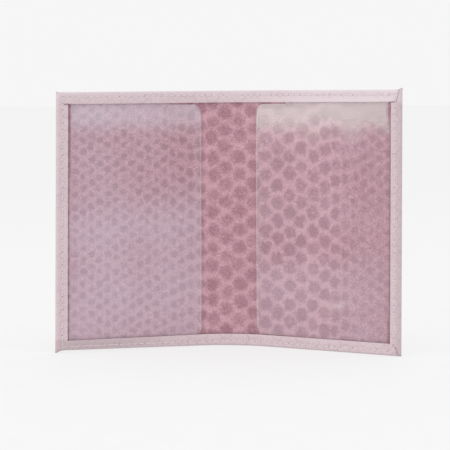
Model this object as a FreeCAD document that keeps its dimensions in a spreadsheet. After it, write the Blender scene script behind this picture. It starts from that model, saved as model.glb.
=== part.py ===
import FreeCAD, Part
import math
import os

import Sketcher
from FreeCAD import Placement, Rotation, Vector

# Folding passport holder, standing on its bottom edge and partly open.
#
# One leather sheet makes the two covers and the spine between them.  Its edges are turned in
# as a hem on all four sides.  A clear film flap lies on the inside of each cover, caught under
# the hem on three sides, so that it makes a pocket whose mouth faces the spine.  One line of
# stitches holds hem, film and cover together all round.
#
# The middle of the leather bends as an arc about a vertical axis and the covers run straight on
# from it.  Every sub-part is drawn about that axis: +X is the outward radial direction where
# arc and cover meet, and the cover runs straight along Y from there.  A Placement then turns it
# to its side.  Depth is measured from the leather's inner face, towards the inside.

DIMENSIONS = (
    ("open_width", 190.0, "leather along its inner face, left edge to right edge"),
    ("height", 134.0, "leather from bottom edge to top edge"),
    ("leather", 1.1, "leather thickness"),
    ("spine_radius", 44.75, "radius of the inner face where the leather bends"),
    ("opening_angle", 23.8, "angle that each cover is turned forward from flat"),
    ("spine_width", 10.0, "strip between the two lines where the covers hinge"),
    ("flex_gap", 1.1, "gap on a hinge line, so that the covers can open flat"),
    ("hem_width", 6.2, "width of the turned-in edge"),
    ("hem_leather", 0.95, "thickness of the turned-in edge, which is skived thinner"),
    ("fold_round", 0.9, "rounding of the folded edge"),
    ("film", 0.25, "film thickness"),
    ("film_play", 0.03, "clearance on each face of the film under the hem"),
    ("film_inset", 1.3, "from the cover's edge to the film's hidden edge"),
    ("left_mouth", 17.9, "from the middle of the spine to the left film's free edge"),
    ("right_mouth", 13.2, "from the middle of the spine to the right film's free edge"),
    ("lip_length", 18.0, "part of the film next to its free edge that the hem doesn't hold"),
    ("lip_gap", 0.2, "gap between the held film and its lip"),
    ("lip_clearance", 0.7, "from the hem to the lip's upper and lower edges"),
    ("lip_corner", 3.5, "radius of the lip's free corners"),
    ("pocket_rise", 1.2, "how far the film arches off the leather where the lip begins"),
    ("mouth_rise", 1.4, "how far the lip arches at its free edge"),
    ("mouth_lift", 0.55, "how far the ends of the lip's free edge stand off the leather"),
    ("stitch_pitch", 3.35, "from one stitch to the next"),
    ("stitch_length", 2.3, "visible thread of one stitch"),
    ("thread_radius", 0.22, "radius of the thread"),
    ("stitch_clearance", 0.02, "gap between a stitch and the face that it lies on"),
    ("side_stitch_inset", 3.4, "from a side edge to the stitch line"),
    ("edge_stitch_inset", 2.5, "from the top or bottom edge to the stitch line"),
)

doc = FreeCAD.newDocument("passport_holder")
sheet = doc.addObject("Spreadsheet::Sheet", "dims")
for row, (alias, value, meaning) in enumerate(DIMENSIONS, start=1):
    sheet.set(f"A{row}", meaning)
    sheet.set(f"B{row}", str(value))
    sheet.setAlias(f"B{row}", alias)
doc.recompute()


def size(expression):
    """The value of an expression over the sheet, in millimetres or degrees."""
    return float(sheet.evalExpression(expression))


# Half of the bent arc, and the straight run of a cover beyond it.
HALF_ARC = "(dims.spine_radius * dims.opening_angle * pi / 180)"
STRAIGHT = f"(dims.open_width / 2 - {HALF_ARC})"
# Radial places of the faces, from the cover's outer face to the hem's inner face.
OUTER_FACE = "(dims.spine_radius + dims.leather)"
INNER_FACE = "dims.spine_radius"
HEM_UNDERSIDE = "(dims.spine_radius - dims.film - 2 * dims.film_play)"
HEM_FACE = f"({HEM_UNDERSIDE} - dims.hem_leather)"
# Half of the strip that stays with the spine, and where a cover begins.
SPINE_END = "(dims.spine_width / 2 - dims.flex_gap / 2)"
COVER_START = "(dims.spine_width / 2 + dims.flex_gap / 2)"


class Side:
    """One cover: its run along Y (+1 or -1) and the turn that puts it in place."""

    def __init__(self, name, run, mouth):
        self.name = name
        self.run = run
        self.mouth = mouth
        self.turn = 90 + run * size("dims.opening_angle")

    def inward(self, distance):
        """Y at a distance from the cover's free side edge."""
        return f"{self.run} * ({STRAIGHT} - ({distance}))"

    def along(self, distance):
        """Y at a distance from the middle of the spine, measured along the leather."""
        return f"{self.run} * (({distance}) - {HALF_ARC})"


LEFT = Side("left", 1, "dims.left_mouth")
RIGHT = Side("right", -1, "dims.right_mouth")
SPINE_TURN = 90


def from_top(distance):
    return f"dims.height - ({distance})"


def from_bottom(distance):
    return f"({distance})"


EDGES = (("top", from_top, 1), ("bottom", from_bottom, -1))

turns = {}


def new_body(label, turn):
    """A PartDesign body that will be turned about the bend's axis by turn degrees."""
    body = doc.addObject("PartDesign::Body", label)
    body.Label = label
    turns[label] = turn
    return body


def sketch_on(body, role, offset=None):
    """A sketch on one of the body's own planes, moved along the plane's normal by offset."""
    plane = next(feature for feature in body.Origin.OriginFeatures if feature.Role == role)
    sketch = body.newObject("Sketcher::SketchObject", f"{body.Label}_outline")
    sketch.AttachmentSupport = [(plane, "")]
    sketch.MapMode = "FlatFace"
    if offset is not None:
        sketch.setExpression("AttachmentOffset.Base.z", offset)
    return sketch


def arc_between(start, end, radius, bulge):
    """The short arc from start to end that bows towards bulge, and whether it runs backwards."""
    chord = end - start
    normal = Vector(-chord.y, chord.x, 0).normalize()
    if normal.dot(bulge) < 0:
        normal = -normal
    apothem = math.sqrt(radius ** 2 - (chord.Length / 2) ** 2)
    centre = (start + end) / 2 - normal * apothem
    backwards = (start - centre).cross(end - centre).z < 0
    first, last = (end, start) if backwards else (start, end)
    angles = [math.atan2(point.y - centre.y, point.x - centre.x) for point in (first, last)]
    circle = Part.Circle(centre, Vector(0, 0, 1), radius)
    return Part.ArcOfCircle(circle, angles[0], angles[1]), backwards


def draw(sketch, corners, arcs=None):
    """A closed outline whose corners are pairs of expressions.

    A side is straight unless arcs gives it a radius and the direction that it bows towards.
    """
    arcs = arcs or {}
    points = [Vector(size(across), size(up), 0) for across, up in corners]
    ends = []
    for side, start in enumerate(points):
        end = points[(side + 1) % len(points)]
        if side in arcs:
            radius, bulge = arcs[side]
            arc, backwards = arc_between(start, end, size(radius), bulge)
            sketch.addGeometry(arc, False)
            number = sketch.addConstraint(Sketcher.Constraint("Radius", side, size(radius)))
            sketch.setExpression(f"Constraints[{number}]", radius)
            ends.append((2, 1) if backwards else (1, 2))
        else:
            sketch.addGeometry(Part.LineSegment(start, end), False)
            ends.append((1, 2))
    for side in range(len(points)):
        following = (side + 1) % len(points)
        sketch.addConstraint(Sketcher.Constraint(
            "Coincident", side, ends[side][1], following, ends[following][0]))
    for side, corner in enumerate(corners):
        for kind, expression in zip(("DistanceX", "DistanceY"), corner):
            number = sketch.addConstraint(Sketcher.Constraint(
                kind, -1, 1, side, ends[side][0], size(expression)))
            sketch.setExpression(f"Constraints[{number}]", expression)


def pad(body, sketch, length, reverse=False):
    feature = body.newObject("PartDesign::Pad", f"{body.Label}_pad")
    feature.Profile = sketch
    feature.Reversed = reverse
    feature.setExpression("Length", length)
    sketch.Visibility = False
    return feature


def revolve(body, sketch, angle, reverse=False, midplane=False):
    feature = body.newObject("PartDesign::Revolution", f"{body.Label}_bend")
    feature.Profile = sketch
    feature.ReferenceAxis = (sketch, ["V_Axis"])
    feature.Reversed = reverse
    feature.Midplane = midplane
    feature.setExpression("Angle", angle)
    return feature


def angle_of(arc_length):
    return f"({arc_length}) / dims.spine_radius * 180 / pi"


def strip_along_cover(label, side, corners, arcs, end_inset):
    """A section swept along a cover: bent from its hinge line, then straight to its side edge."""
    body = new_body(label, side.turn)
    sketch = sketch_on(body, "XZ_Plane")
    draw(sketch, corners, arcs)
    pad(body, sketch, f"{STRAIGHT} - ({end_inset})", reverse=side.run > 0)
    revolve(body, sketch, f"dims.opening_angle - {angle_of(COVER_START)}", reverse=side.run > 0)
    return body


def strip_along_spine(label, corners, arcs=None):
    """A section swept round the spine, the same distance to each side of its middle."""
    body = new_body(label, SPINE_TURN)
    sketch = sketch_on(body, "XZ_Plane")
    draw(sketch, corners, arcs)
    revolve(body, sketch, f"2 * {angle_of(SPINE_END)}", midplane=True)
    return body


def hem_section(edge, outward):
    """Corners of a turned-in edge, and the arcs of its folded outer side.

    edge gives the place at a distance from the folded edge, and outward is the sign of the
    direction in which that edge lies.
    """
    inner_round = f"{HEM_FACE} + dims.fold_round"
    outer_round = f"{OUTER_FACE} - dims.fold_round"
    corners = (
        (HEM_FACE, edge("dims.hem_width")),
        (HEM_FACE, edge("dims.fold_round")),
        (inner_round, edge("0")),
        (outer_round, edge("0")),
        (OUTER_FACE, edge("dims.fold_round")),
        (OUTER_FACE, edge("dims.leather")),
        (HEM_UNDERSIDE, edge("dims.leather")),
        (HEM_UNDERSIDE, edge("dims.hem_width")),
    )
    arcs = {
        1: ("dims.fold_round", Vector(-1, outward, 0)),
        3: ("dims.fold_round", Vector(1, outward, 0)),
    }
    return corners, arcs


def cut_through(body, sketch):
    """Cuts an outline through the whole body, both ways from the outline's plane."""
    doc.recompute()
    before = body.Shape.Volume
    pocket = body.newObject("PartDesign::Pocket", f"{body.Label}_cut")
    pocket.Profile = sketch
    pocket.Type = "ThroughAll"
    pocket.Midplane = True
    doc.recompute()
    if body.Shape.Volume >= before:
        raise ValueError(f"{body.Label}: the outline cut nothing away")


def cut_mitre(body, side, edge, keep_side_hem):
    """Cuts a hem along the 45 degree line from the cover's corner."""
    overrun = "1"
    inside = f"dims.hem_width + {overrun}"
    outside = f"-{overrun}"
    waste = (inside, outside) if keep_side_hem else (outside, inside)
    sketch = sketch_on(body, "YZ_Plane")
    draw(sketch, (
        (side.inward(outside), edge(outside)),
        (side.inward(inside), edge(inside)),
        (side.inward(waste[0]), edge(waste[1])),
    ))
    cut_through(body, sketch)


def cover_panel(side):
    corners = (
        (INNER_FACE, from_bottom("dims.leather")),
        (OUTER_FACE, from_bottom("dims.leather")),
        (OUTER_FACE, from_top("dims.leather")),
        (INNER_FACE, from_top("dims.leather")),
    )
    return strip_along_cover(f"{side.name}_cover_panel", side, corners, None, "dims.leather")


def spine_panel():
    return strip_along_spine("spine_panel", (
        (INNER_FACE, from_bottom("dims.leather")),
        (OUTER_FACE, from_bottom("dims.leather")),
        (OUTER_FACE, from_top("dims.leather")),
        (INNER_FACE, from_top("dims.leather")),
    ))


def long_hem(side, edge_name, edge, outward):
    """The turned-in top or bottom edge of a cover, mitred at the cover's corner."""
    corners, arcs = hem_section(edge, outward)
    body = strip_along_cover(f"{side.name}_{edge_name}_hem", side, corners, arcs, "0")
    cut_mitre(body, side, edge, keep_side_hem=False)
    return body


def side_hem(side):
    """The turned-in side edge of a cover, mitred at both ends."""
    body = new_body(f"{side.name}_side_hem", side.turn)
    sketch = sketch_on(body, "XY_Plane")
    corners, arcs = hem_section(side.inward, side.run)
    draw(sketch, corners, arcs)
    pad(body, sketch, "dims.height")
    for _, edge, _ in EDGES:
        cut_mitre(body, side, edge, keep_side_hem=True)
    return body


def film_section(body, side, distance, end_inset, lift, rise):
    """A cut across the film at a distance from the spine, arched between its two ends."""
    # The plane's normal is -Y.
    sketch = sketch_on(body, "XZ_Plane", offset=f"-({side.along(distance)})")
    back = f"{INNER_FACE} - dims.film_play - ({lift})"
    front = f"{back} - dims.film"
    low, high = from_bottom(end_inset), from_top(end_inset)
    arcs = None
    if rise is not None:
        half_chord = f"(dims.height / 2 - ({end_inset}))"
        radius = f"({half_chord} ^ 2 + ({rise}) ^ 2) / (2 * ({rise}))"
        arcs = {0: (radius, Vector(-1, 0, 0)), 2: (radius, Vector(-1, 0, 0))}
    draw(sketch, ((front, low), (front, high), (back, high), (back, low)), arcs)
    return sketch


def loft(body, first, last):
    feature = body.newObject("PartDesign::AdditiveLoft", f"{body.Label}_sheet")
    feature.Profile = first
    feature.Sections = [last]
    feature.Ruled = True
    return feature


def held_film(side):
    """The part of the film that the hem holds on three sides, with its hidden margin."""
    body = new_body(f"{side.name}_flap", side.turn)
    kink_distance = f"({side.mouth} + dims.lip_length)"
    kink = side.along(kink_distance)
    margin = sketch_on(body, "YZ_Plane", offset=f"{INNER_FACE} - dims.film_play - dims.film")
    hidden, shown = "dims.film_inset", "dims.hem_width"
    draw(margin, (
        (kink, from_bottom(hidden)),
        (side.inward(hidden), from_bottom(hidden)),
        (side.inward(hidden), from_top(hidden)),
        (kink, from_top(hidden)),
        (kink, from_top(shown)),
        (side.inward(shown), from_top(shown)),
        (side.inward(shown), from_bottom(shown)),
        (kink, from_bottom(shown)),
    ))
    pad(body, margin, "dims.film")
    side_end = film_section(body, side, "dims.open_width / 2 - dims.hem_width", shown, "0", None)
    kink_end = film_section(body, side, kink_distance, shown, "0", "dims.pocket_rise")
    loft(body, side_end, kink_end)
    return body


def round_free_corner(body, side, edge, outward, end_inset):
    """Cuts one corner of the lip's free edge to its radius."""
    overrun = "1"
    inside = f"{side.mouth} + dims.lip_corner"
    beyond = f"{side.mouth} - {overrun}"
    end, past_end = end_inset, f"{end_inset} - {overrun}"
    tangent = f"{end_inset} + dims.lip_corner"
    sketch = sketch_on(body, "YZ_Plane")
    draw(sketch, (
        (side.along(side.mouth), edge(tangent)),
        (side.along(inside), edge(end)),
        (side.along(inside), edge(past_end)),
        (side.along(beyond), edge(past_end)),
        (side.along(beyond), edge(tangent)),
    ), {0: ("dims.lip_corner", Vector(-side.run, outward, 0))})
    cut_through(body, sketch)


def film_lip(side):
    """The free part of the film at the pocket's mouth, with rounded corners."""
    body = new_body(f"{side.name}_flap_lip", side.turn)
    end_inset = "dims.hem_width + dims.lip_clearance"
    start = f"{side.mouth} + dims.lip_length - dims.lip_gap"
    root = film_section(body, side, start, end_inset, "0", "dims.pocket_rise")
    free = film_section(body, side, side.mouth, end_inset, "dims.mouth_lift", "dims.mouth_rise")
    loft(body, root, free)
    for _, edge, outward in EDGES:
        round_free_corner(body, side, edge, outward, end_inset)
    return body


def even_places(start, end):
    """Middles of the stitches that fill a line from start to end at about the stitch pitch."""
    count = round((end - start) / size("dims.stitch_pitch"))
    step = (end - start) / count
    return [start + step * (number + 0.5) for number in range(count)]


def stitch(middle, direction):
    """One visible length of thread."""
    length = size("dims.stitch_length")
    start = middle - direction * (length / 2)
    return Part.makeCylinder(size("dims.thread_radius"), length, start, direction)


STANDOFF = size("dims.stitch_clearance + dims.thread_radius")
STITCH_RADII = (size(HEM_FACE) - STANDOFF, size(OUTER_FACE) + STANDOFF)


def stitch_group(label, turn, stitches):
    """Separate stitches in one object.  A row of solids along a bent path has no body feature."""
    group = doc.addObject("Part::Feature", label)
    group.Label = label
    group.Shape = Part.makeCompound(stitches)
    turns[label] = turn
    return group


def on_arc(radius, angle, height):
    """Place and heading on a circle about the bend's axis, at an angle from +X."""
    return (Vector(radius * math.cos(angle), radius * math.sin(angle), height),
            Vector(-math.sin(angle), math.cos(angle), 0))


def on_cover(side, radius, distance, height):
    """Place and heading at a distance along the leather from the middle of the spine."""
    past_bend = distance - size(HALF_ARC)
    if past_bend >= 0:
        return Vector(radius, side.run * past_bend, height), Vector(0, 1, 0)
    return on_arc(radius, side.run * past_bend / size("dims.spine_radius"), height)


def long_hem_stitches(side, edge_name, edge):
    height = size(edge("dims.edge_stitch_inset"))
    start = size("dims.spine_width / 2")
    end = size("dims.open_width / 2 - dims.side_stitch_inset")
    return stitch_group(f"{side.name}_{edge_name}_stitches", side.turn, [
        stitch(*on_cover(side, radius, distance, height))
        for radius in STITCH_RADII
        for distance in even_places(start, end)
    ])


def side_hem_stitches(side):
    across = size(side.inward("dims.side_stitch_inset"))
    start = size(from_bottom("dims.edge_stitch_inset"))
    end = size(from_top("dims.edge_stitch_inset"))
    return stitch_group(f"{side.name}_side_stitches", side.turn, [
        stitch(Vector(radius, across, height), Vector(0, 0, 1))
        for radius in STITCH_RADII
        for height in even_places(start, end)
    ])


def spine_hem_stitches(edge_name, edge):
    height = size(edge("dims.edge_stitch_inset"))
    half = size("dims.spine_width / 2")
    return stitch_group(f"spine_{edge_name}_stitches", SPINE_TURN, [
        stitch(*on_arc(radius, distance / size("dims.spine_radius"), height))
        for radius in STITCH_RADII
        for distance in even_places(-half, half)
    ])


def build_cover(side):
    pieces = [cover_panel(side), side_hem(side), side_hem_stitches(side), held_film(side), film_lip(side)]
    for edge_name, edge, outward in EDGES:
        pieces.append(long_hem(side, edge_name, edge, outward))
        pieces.append(long_hem_stitches(side, edge_name, edge))
    return pieces


def build_spine():
    pieces = [spine_panel()]
    for edge_name, edge, outward in EDGES:
        corners, arcs = hem_section(edge, outward)
        pieces.append(strip_along_spine(f"spine_{edge_name}_hem", corners, arcs))
        pieces.append(spine_hem_stitches(edge_name, edge))
    return pieces


def place(pieces):
    """Turns every piece to its side and centres the whole on the origin, its base at zero."""
    for piece in pieces:
        piece.Placement = Placement(Vector(), Rotation(Vector(0, 0, 1), turns[piece.Label]))
    box = FreeCAD.BoundBox()
    for piece in pieces:
        box.add(piece.Shape.optimalBoundingBox(False))
    shift = Vector(-box.Center.x, -box.Center.y, -box.ZMin)
    for piece in pieces:
        piece.Placement = Placement(shift, piece.Placement.Rotation)
    return shift


def check(pieces):
    for item in doc.Objects:
        if "Invalid" in item.State or "Error" in item.State:
            raise ValueError(f"{item.Label}: {item.State}")
    for piece in pieces:
        if piece.Shape.isNull() or not piece.Shape.isValid():
            raise ValueError(f"{piece.Label}: its shape is null or not valid")


sub_parts = build_cover(LEFT) + build_spine() + build_cover(RIGHT)
doc.recompute()
axis_place = place(sub_parts)
doc.recompute()
check(sub_parts)

os.makedirs("parts", exist_ok=True)
for sub_part in sub_parts:
    sub_part.Shape.exportStep(f"parts/{sub_part.Label}.step")
print(f"bend axis at x {axis_place.x:.3f}, y {axis_place.y:.3f}; {len(sub_parts)} sub-parts")
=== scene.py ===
import math

import bpy
import numpy as np
from mathutils import Matrix, Vector


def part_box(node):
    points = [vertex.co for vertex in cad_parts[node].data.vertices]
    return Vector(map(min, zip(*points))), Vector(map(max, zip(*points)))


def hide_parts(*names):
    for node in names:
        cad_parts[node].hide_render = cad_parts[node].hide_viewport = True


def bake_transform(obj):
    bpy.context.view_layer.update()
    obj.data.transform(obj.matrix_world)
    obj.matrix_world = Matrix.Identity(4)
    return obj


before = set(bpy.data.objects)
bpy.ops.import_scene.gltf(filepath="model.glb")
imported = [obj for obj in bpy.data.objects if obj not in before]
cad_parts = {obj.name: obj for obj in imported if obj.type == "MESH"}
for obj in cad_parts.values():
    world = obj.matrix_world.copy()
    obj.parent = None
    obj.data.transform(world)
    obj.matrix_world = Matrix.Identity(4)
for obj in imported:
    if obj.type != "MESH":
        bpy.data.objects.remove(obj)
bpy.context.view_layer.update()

# Shapes are worked out in millimetres and become metres where a mesh or a light is made.
MM = 0.001

# ---------------------------------------------------------------- the frame's sizes

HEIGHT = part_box("left_side_hem")[1].z / MM
HEM_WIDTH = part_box("left_bottom_hem")[1].z / MM
# From the middle of the spine to a side edge, along the leather.
HALF_WIDTH = 95.0
# Open, the leather's inner face is an arc across the spine, and runs on straight from its ends.
SPINE_RADIUS = 44.75
OPENING = math.radians(23.8)
HALF_ARC = SPINE_RADIUS * OPENING
LEATHER = 1.1
HEM_LEATHER = 0.95
AXIS_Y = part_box("spine_panel")[1].y / MM - SPINE_RADIUS - LEATHER
# The slot between the leather and its hem, where the film is held.
SLOT = 0.31
HEM_FACE = SLOT + HEM_LEATHER
FOLD_RADIUS = (HEM_FACE + LEATHER) / 2

# How far the stitch lines lie in from the side edges and from the long edges.
SIDE_STITCH_INSET = 3.4
EDGE_STITCH_INSET = 2.5
STITCH_PITCH = 3.35
HALF_SPINE = 5.0

LEFT, RIGHT = -1, 1
SIDE_NAMES = {LEFT: "left", RIGHT: "right"}
BOTTOM, TOP = -1, 1
# Each film's free edge, from the middle of the spine, and the length that the hems leave free.
MOUTH = {LEFT: 17.9, RIGHT: 13.2}
LIP_LENGTH = 18.0
# The leather bends between these distances from the middle of the spine.
BEND_START, BEND_END = 0.0, 12.5

# The skin isn't cut quite square: how far each side edge leans in at its top and out at its foot,
# and how far the top edge has dropped by the time it gets there.
LEAN = {LEFT: 0.95, RIGHT: -0.12}
DROP = {LEFT: 0.6, RIGHT: 0.1}
# The left cover's foot is folded a little high, all but this much of it at the corner.
FOOT_RISE, FOOT_CORNER = 1.15, 2.2


def place(across, up, depth):
    """Points of the skin: across it from the middle of the spine, up it, and in from its inner face."""
    across, up, depth = np.broadcast_arrays(across, up, depth)
    on_left = across < 0
    side = np.where(on_left, -1.0, 1.0)
    share = np.abs(across) / HALF_WIDTH
    reach = np.abs(across) - share * (2 * up / HEIGHT - 1) * np.where(on_left, LEAN[LEFT], LEAN[RIGHT])
    foot = np.where(on_left, FOOT_RISE, 0) * share * np.clip(1 - up / HEM_WIDTH, 0, 1)
    foot = foot * (1 - np.exp(-((HALF_WIDTH - np.abs(across)) / FOOT_CORNER) ** 2))
    up = up - share * up / HEIGHT * np.where(on_left, DROP[LEFT], DROP[RIGHT]) + foot
    angle = np.minimum(reach / SPINE_RADIUS, OPENING)
    straight = np.maximum(reach - HALF_ARC, 0)
    radius = SPINE_RADIUS - depth
    x = radius * np.sin(angle) + straight * math.cos(OPENING)
    y = radius * np.cos(angle) - straight * math.sin(OPENING)
    return np.stack([side * x, AXIS_Y + y, up], axis=-1)


def smooth(low, high, value):
    """0 at low, 1 at high and a smooth step between; low may be above high."""
    t = np.clip((value - low) / (high - low), 0, 1)
    return t * t * (3 - 2 * t)


def bump_at(value, width):
    """1 where value is 0, fading over a width each side."""
    return np.exp(-(value / width) ** 2)


def even_steps(start, end, step):
    return np.linspace(start, end, max(2, round(abs(end - start) / step) + 1))


# ---------------------------------------------------------------- the embossed scales

# A band of large scales runs up the skin, off centre, with smaller ones each side of it: how wide
# the columns are, and how far apart the scales in a column, at places across the skin.
PLACES_ACROSS = (-110, -60, -34, -21, -13, 0, 20, 45, 55, 63, 72, 110)
COLUMN_STEPS = (4.2, 4.3, 4.5, 5.0, 6.1, 7.4, 7.0, 6.7, 6.0, 5.2, 4.6, 4.3)
SCALE_STEPS = (6.1, 6.2, 6.6, 7.4, 9.4, 9.6, 9.6, 9.6, 9.2, 7.6, 6.8, 6.4)
FIRST_COLUMN, FIRST_ROW = -4.0, 66.0
# The pattern goes on past the edges, over the turned-in hems.
SKIN_MARGIN = 16.0
# A scale's half width, as a share of its column's width, and half height, as a share of its step.
HALF_SCALE_WIDTH, HALF_SCALE_HEIGHT = 0.63, 0.45
SCALE_SCATTER = 0.05
SCALE_SIZES = (0.9, 1.08)
SCALE_DARKNESS = (0.65, 1.0)
SCALE_SEED = 7
# Distances to the scales are worked out for this many points at a time, to spare memory.
CHUNK = 4000

# The dark spots on the flesh side. Their radius and softness are in scale sizes: for a small scale,
# then how much more for a large one, on the worn spine, and for a small one on the right.
LARGE_STEP, SMALL_STEP = 9.4, 6.6
SPOT_RADIUS, LARGE_RADIUS, RIGHT_RADIUS = 0.59, 0.25, 0.04
SPOT_SOFT, LARGE_SOFT, WORN_SOFT, RIGHT_SOFT = 0.26, 0.08, 0.16, 0.16
WORN_WIDTH = 16
# How strong small spots are, how far that wanders, and how dark the ground between them is.
SMALL_STRENGTH = {LEFT: 0.9, RIGHT: 0.8}
STRENGTH_WANDER = 0.3
SMALL_GROUND = {LEFT: 0.36, RIGHT: 0.46}

WAVES = 7
WAVE_LENGTHS = (0.7, 1.5)
# What brings the sum of those waves to about 1.
WAVES_SUM = 3.2


def wander(across, up, wavelength, seed):
    """A smooth random field over the skin, about -1 to 1, from crossing waves."""
    chance = np.random.default_rng(seed)
    total = 0.0
    for _ in range(WAVES):
        way = chance.uniform(0, 2 * math.pi)
        length = wavelength * chance.uniform(*WAVE_LENGTHS)
        wave = (across * math.cos(way) + up * math.sin(way)) * 2 * math.pi / length
        total = total + np.sin(wave + chance.uniform(0, 2 * math.pi))
    return total / WAVES_SUM


def column_places():
    """Places of the columns of scales across the skin, stepped out both ways from the first."""
    limit = HALF_WIDTH + SKIN_MARGIN
    ways = []
    for way in (-1, 1):
        place_across, found = FIRST_COLUMN, []
        while abs(place_across) < limit:
            place_across += way * np.interp(place_across, PLACES_ACROSS, COLUMN_STEPS)
            found.append(place_across)
        ways.append(found)
    return ways[0][::-1] + [FIRST_COLUMN] + ways[1]


def scale_centres():
    """(across, up, half width, half height, darkness) of every scale, staggered and a little uneven."""
    chance = np.random.default_rng(SCALE_SEED)
    rows = []
    for number, across in enumerate(column_places()):
        wide = np.interp(across, PLACES_ACROSS, COLUMN_STEPS)
        step = np.interp(across, PLACES_ACROSS, SCALE_STEPS)
        first = FIRST_ROW + step / 2 * (number % 2)
        first -= step * math.ceil((first + SKIN_MARGIN) / step)
        for up in np.arange(first, HEIGHT + SKIN_MARGIN, step):
            off = chance.normal(0, SCALE_SCATTER, 2) * (wide, step)
            size = chance.uniform(*SCALE_SIZES)
            rows.append((
                across + off[0], up + off[1], HALF_SCALE_WIDTH * wide * size,
                HALF_SCALE_HEIGHT * step * size, chance.uniform(*SCALE_DARKNESS)))
    return np.array(rows)


SCALES = scale_centres()


def nearest_scales(across, up):
    """Distances to the nearest scale and the next, in scale sizes, and the nearest one's darkness."""
    across, up = np.broadcast_arrays(across, up)
    points = np.stack([across.ravel(), up.ravel()], axis=1)
    near, second, darkness = (np.empty(len(points)) for _ in range(3))
    for start in range(0, len(points), CHUNK):
        here = slice(start, start + CHUNK)
        part = points[here]
        gap = np.hypot(
            (part[:, :1] - SCALES[:, 0]) / SCALES[:, 2], (part[:, 1:] - SCALES[:, 1]) / SCALES[:, 3])
        numbers = np.arange(len(part))
        closest = gap.argmin(axis=1)
        near[here] = gap[numbers, closest]
        gap[numbers, closest] = np.inf
        second[here] = gap.min(axis=1)
        darkness[here] = SCALES[closest, 4]
    return (found.reshape(across.shape) for found in (near, second, darkness))


def embossing(across, up):
    """Height of the embossed scales: 0 in the lines between them, 1 on their crowns."""
    near, second, _ = nearest_scales(across, up)
    return 0.6 * smooth(0.0, 0.34, second - near) + 0.4 * (1 - np.minimum(near, 1) ** 2)


def ragged(across, up, seed):
    """How far a spot's outline strays from its scale's."""
    return 0.45 * wander(across, up, 6.0, seed) + 0.25 * wander(across, up, 2.6, seed + 1)


def spots(across, up):
    """Strength of the dark spots on the flesh side, one behind each scale, with ragged outlines."""
    near, _, darkness = nearest_scales(across + ragged(across, up, 11), up + ragged(across, up, 13))
    on_right = across > 0
    large = smooth(SMALL_STEP, LARGE_STEP, np.interp(across, PLACES_ACROSS, SCALE_STEPS))
    worn = bump_at(across, WORN_WIDTH)
    blurred = np.where(on_right, 1 - large, 0)
    radius = SPOT_RADIUS + LARGE_RADIUS * large + RIGHT_RADIUS * blurred
    soft = SPOT_SOFT + LARGE_SOFT * large + WORN_SOFT * worn + RIGHT_SOFT * blurred
    faint = np.where(on_right, SMALL_STRENGTH[RIGHT], SMALL_STRENGTH[LEFT])
    faint = faint + STRENGTH_WANDER * wander(across, up, 45.0, 15)
    small = 1.35 * np.clip(faint, 0.4, 1.05) * (1.5 * darkness - 0.5)
    strength = large * darkness + (1 - large) * small
    ground = np.where(on_right, SMALL_GROUND[RIGHT], SMALL_GROUND[LEFT]) * (1 - large)
    return ground + (1 - ground) * strength * smooth(radius + soft, radius - soft, near)


# ---------------------------------------------------------------- mesh making

SHARP_ANGLE = math.radians(55)


def new_piece(name, points, faces, materials, face_materials, values=None, vectors=None, uv=None):
    """An object from points in millimetres, with named values and vectors per point, and a UV map."""
    mesh = bpy.data.meshes.new(name)
    mesh.from_pydata((np.asarray(points) * MM).tolist(), [], faces)
    for material in materials:
        mesh.materials.append(material)
    mesh.polygons.foreach_set("material_index", np.asarray(face_materials, dtype=np.int32))
    for label, numbers in (values or {}).items():
        attribute = mesh.attributes.new(label, "FLOAT", "POINT")
        attribute.data.foreach_set("value", np.asarray(numbers, dtype=np.float32))
    for label, numbers in (vectors or {}).items():
        attribute = mesh.attributes.new(label, "FLOAT_VECTOR", "POINT")
        attribute.data.foreach_set("vector", np.asarray(numbers, dtype=np.float32).ravel())
    if uv is not None:
        layer = mesh.uv_layers.new(name="stitch_line")
        layer.data.foreach_set("uv", np.asarray(uv, dtype=np.float32).ravel())
    mesh.shade_smooth()
    mesh.set_sharp_from_angle(angle=SHARP_ANGLE)
    mesh.update()
    piece = bpy.data.objects.new(name, mesh)
    bpy.context.scene.collection.objects.link(piece)
    return piece


def cells(ids):
    """Quads of a grid of point numbers, wherever all four points are there (no point is -1)."""
    quads = np.stack([ids[:-1, :-1], ids[1:, :-1], ids[1:, 1:], ids[:-1, 1:]], axis=-1).reshape(-1, 4)
    return quads[(quads >= 0).all(axis=1)]


# ---------------------------------------------------------------- the leather's surfaces

# How high the scales stand outside and on the hems, which are pressed flat, and how deep each spot
# is sunk in the flesh side.
SCALE_HEIGHT = 0.22
HEM_SCALE_HEIGHT = 0.06
SPOT_DEPTH = 0.06
STITCH_GROOVE = 0.14
GROOVE_WIDTH = 0.7
# How far a corner's point stands out at most, and how much the overlap of two hems adds.
EAR = 0.9
OVERLAP = 0.22
CREASE_WIDTH = 0.28
CREASE_DEPTH = 0.4
# The hem's face is rolled down at its cut edge.
ROLLED_DEPTH, ROLLED_WIDTH = 0.12, 0.4
# Painted shade on the grain side: how dark the left foot, the bottom edge and the right fold are.
FOOT_DARK, EDGE_DARK, FOLD_DARK = 0.36, 0.5, 0.26
# How dark the shadow of each film's free edge is.
LIP_SHADE = {LEFT: 0.38, RIGHT: 0.5}

# The line where the long hem lies over the side hem at each corner, as (side inset, edge inset).
CREASES = {
    (RIGHT, TOP): ((6.2, 6.2), (2.9, 6.2), (2.1, 3.6), (1.1, 0.6), (0.5, -1.0)),
    (RIGHT, BOTTOM): ((4.2, 5.8), (3.0, 4.6), (1.9, 2.6), (0.9, 0.2), (0.5, -1.0)),
    (LEFT, TOP): ((6.2, 6.2), (4.2, 6.2)),
    (LEFT, BOTTOM): ((1.6, 0.6), (0.2, -0.6)),
}
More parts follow.
